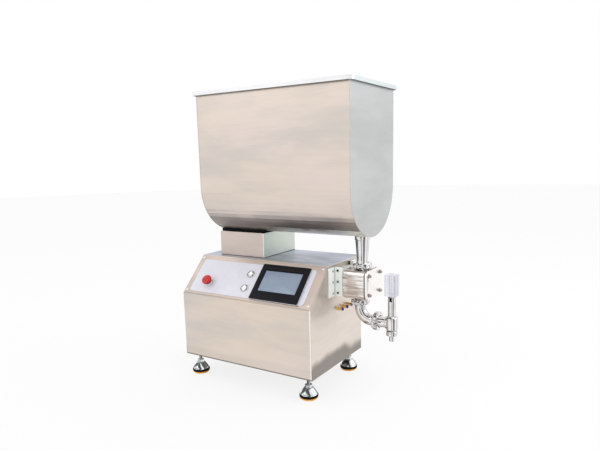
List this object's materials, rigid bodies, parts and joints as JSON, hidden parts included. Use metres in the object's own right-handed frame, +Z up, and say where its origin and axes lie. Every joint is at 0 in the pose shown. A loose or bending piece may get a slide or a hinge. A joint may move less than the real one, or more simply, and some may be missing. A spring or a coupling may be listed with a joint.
{
  "type": "rotary lobe liquid filler",
  "caption": "Bench-top liquid filler: U-trough hopper over a rotary lobe pump, sloped control cabinet on levelling feet, and a pneumatic filling valve with a nozzle.",
  "frame": {"origin": "middle of the footprint, on the surface the feet stand on", "axes": "+X to the pump's side, -Y to the control panel's side, +Z up"},
  "size_m": [0.7702, 0.397, 1.0474],
  "materials": {
    "brushed_steel": "brushed stainless sheet, warm tint",
    "polished_steel": "polished stainless",
    "foot_chrome": "chromed, with a black ring and an orange pad",
    "pale_paint": "satin pale grey",
    "overlay_white": "satin, lavender white",
    "black_plastic": "fine texture",
    "screen_glass": "gloss, grey blue",
    "zinc_collar": "satin",
    "red_plastic": "gloss red",
    "black_rubber": "matt",
    "brass": "turned, with a blue release collar",
    "dark_casting": "satin dark grey"
  },
  "bodies": {
    "machine": {"cabinet_wrap": "brushed_steel", "side_panel_left": "brushed_steel", "side_panel_right": "brushed_steel", "rear_panel": "brushed_steel", "base_tray": "brushed_steel", "control_plate": "brushed_steel", "pedestal_box": "brushed_steel", "hopper_shell": "brushed_steel", "hopper_end_left": "brushed_steel", "hopper_end_right": "brushed_steel", "hopper_rim": "brushed_steel", "button_ring_upper": "polished_steel", "button_ring_lower": "polished_steel", "hopper_outlet": "polished_steel", "clamp_inlet": "polished_steel", "clamp_outlet": "polished_steel", "clamp_valve": "polished_steel", "pump_housing": "polished_steel", "pump_cover": "polished_steel", "bearing_drive": "polished_steel", "bearing_idler": "polished_steel", "outlet_elbow": "polished_steel", "valve_body": "polished_steel", "valve_yoke": "polished_steel", "valve_cylinder": "polished_steel", "nozzle_nut": "polished_steel", "nozzle_tip": "polished_steel", "bracket_front": "pale_paint", "bracket_rear": "pale_paint", "gear_case": "pale_paint", "overlay_panel": "overlay_white", "hmi_housing": "black_plastic", "cable_gland": "black_plastic", "servo_motor": "black_plastic", "hmi_screen": "screen_glass", "estop_collar": "zinc_collar", "saddle_pad": "black_rubber", "air_fitting_front": "brass", "air_fitting_middle": "brass", "air_fitting_rear": "brass", "motor_reducer": "dark_casting", "control_module": "dark_casting"},
    "drive_train": {"shaft_drive": "polished_steel", "rotor_drive": "polished_steel", "gear_drive": "dark_casting"},
    "idler_train": {"shaft_idler": "polished_steel", "rotor_idler": "polished_steel", "gear_idler": "dark_casting"},
    "filling_stem": {"valve_stem": "polished_steel"},
    "stop_plunger": {"estop_stem": "black_plastic"},
    "stop_knob": {"estop_head": "red_plastic"},
    "upper_button": {"button_cap_upper": "polished_steel"},
    "lower_button": {"button_cap_lower": "polished_steel"},
    "inlet_wing_nut": {"wing_nut_inlet": "polished_steel"},
    "outlet_wing_nut": {"wing_nut_outlet": "polished_steel"},
    "valve_wing_nut": {"wing_nut_valve": "polished_steel"},
    "front_left_foot": {"foot_front_left": "foot_chrome"},
    "front_right_foot": {"foot_front_right": "foot_chrome"},
    "rear_left_foot": {"foot_rear_left": "foot_chrome"},
    "rear_right_foot": {"foot_rear_right": "foot_chrome"}
  },
  "joints": [
    {"name": "drive_spin", "type": "hinge", "parent": "machine", "child": "drive_train", "pos_m": [0.25485, 0.0375, 0.38], "axis": [1, 0, 0], "continuous": true},
    {"name": "idler_spin", "type": "hinge", "parent": "machine", "child": "idler_train", "pos_m": [0.25485, -0.0005, 0.38], "axis": [1, 0, 0], "continuous": true},
    {"name": "stem_lift", "type": "slide", "parent": "machine", "child": "filling_stem", "axis": [0, 0, 1], "range_m": [0, 0.01]},
    {"name": "stop_press", "type": "slide", "parent": "machine", "child": "stop_plunger", "axis": [0, 0.7099, -0.7043], "range_m": [0, 0.004]},
    {"name": "stop_twist", "type": "hinge", "parent": "stop_plunger", "child": "stop_knob", "pos_m": [-0.28565, -0.16012, 0.35869], "axis": [0, 0.7099, -0.7043], "range_deg": [0, 45], "stiffness_Nm_per_rad": 0.02},
    {"name": "upper_button_press", "type": "slide", "parent": "machine", "child": "upper_button", "axis": [0, 0.7099, -0.7043], "range_m": [0, 0.002], "stiffness_N_per_m": 800, "springref_m": -0.001},
    {"name": "lower_button_press", "type": "slide", "parent": "machine", "child": "lower_button", "axis": [0, 0.7099, -0.7043], "range_m": [0, 0.002], "stiffness_N_per_m": 800, "springref_m": -0.001},
    {"name": "inlet_nut_turn", "type": "hinge", "parent": "machine", "child": "inlet_wing_nut", "pos_m": [0.25485, -0.02, 0.4405], "axis": [1, 0, 0], "continuous": true},
    {"name": "outlet_nut_turn", "type": "hinge", "parent": "machine", "child": "outlet_wing_nut", "pos_m": [0.24685, -0.02, 0.3125], "axis": [1, 0, 0], "continuous": true},
    {"name": "valve_nut_turn", "type": "hinge", "parent": "machine", "child": "valve_wing_nut", "pos_m": [0.31135, -0.02, 0.248], "axis": [0, 0, 1], "continuous": true},
    {"name": "front_left_level", "type": "slide", "parent": "machine", "child": "front_left_foot", "axis": [0, 0, 1], "range_m": [-0.015, 0.01]},
    {"name": "front_right_level", "type": "slide", "parent": "machine", "child": "front_right_foot", "axis": [0, 0, 1], "range_m": [-0.015, 0.01]},
    {"name": "rear_left_level", "type": "slide", "parent": "machine", "child": "rear_left_foot", "axis": [0, 0, 1], "range_m": [-0.015, 0.01]},
    {"name": "rear_right_level", "type": "slide", "parent": "machine", "child": "rear_right_foot", "axis": [0, 0, 1], "range_m": [-0.015, 0.01]}
  ],
  "couplings": [
    {"joint": "idler_spin", "follows": "drive_spin", "ratio": -1}
  ]
}
